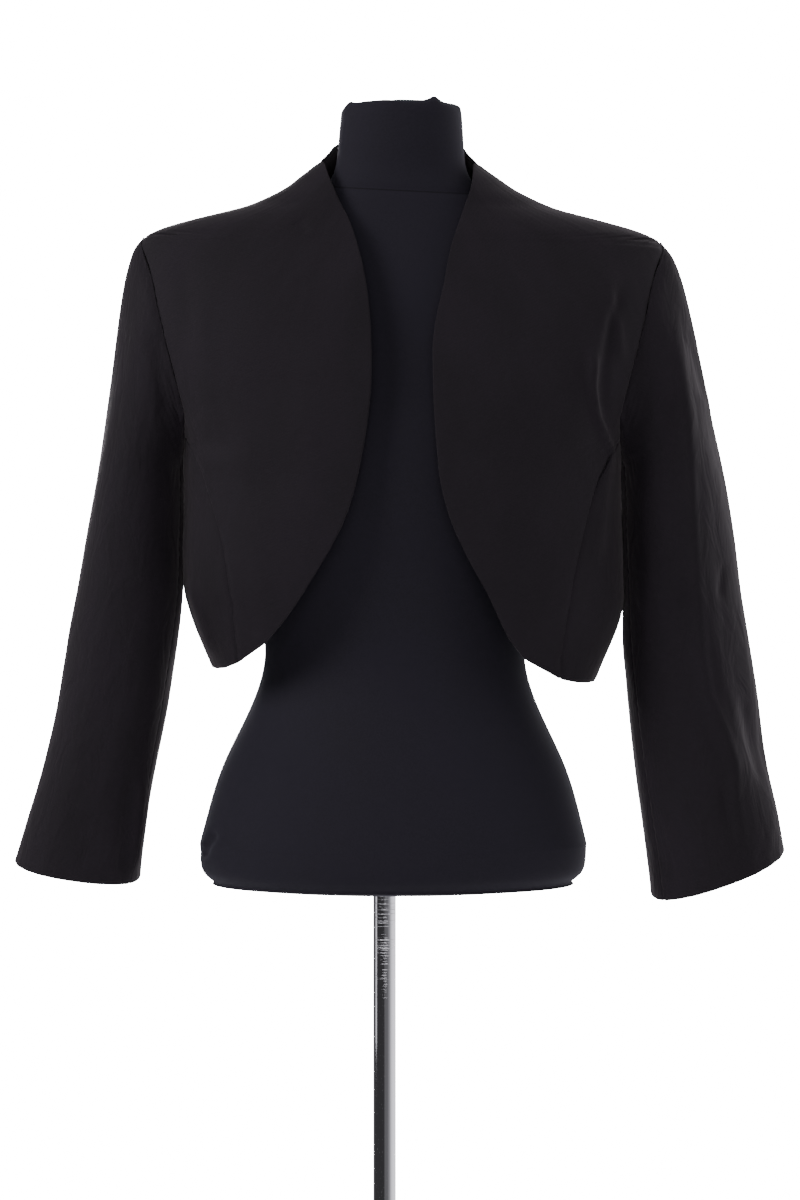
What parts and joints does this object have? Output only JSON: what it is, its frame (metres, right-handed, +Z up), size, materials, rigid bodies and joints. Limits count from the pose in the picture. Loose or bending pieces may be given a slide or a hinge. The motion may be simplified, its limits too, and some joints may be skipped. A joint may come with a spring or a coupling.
{
  "type": "cropped open-front blazer on a dress form with a pole stand",
  "caption": "Cropped black blazer with rounded open fronts, grown-on collar and long set-in sleeves, worn on a limbless fabric dress form on a chrome pole and round base.",
  "frame": {"origin": "centre of the base plate's underside, on the floor and on the pole's axis", "axes": "+Z up along the pole, the fronts of the blazer face -Y, +X to the wearer's left"},
  "size_m": [0.6692, 0.3, 1.404],
  "materials": {
    "suiting": "matt woven suiting",
    "jersey": "matt stretch jersey",
    "chrome": "polished, lightly scratched",
    "steel": "satin"
  },
  "bodies": {
    "root": {"front_left": "suiting", "front_right": "suiting", "side_left": "suiting", "side_right": "suiting", "back": "suiting", "collar": "suiting", "sleeve_upper_left": "suiting", "sleeve_under_left": "suiting", "sleeve_upper_right": "suiting", "sleeve_under_right": "suiting", "form_torso": "jersey", "pole": "chrome", "base_plate": "steel"}
  },
  "joints": []
}
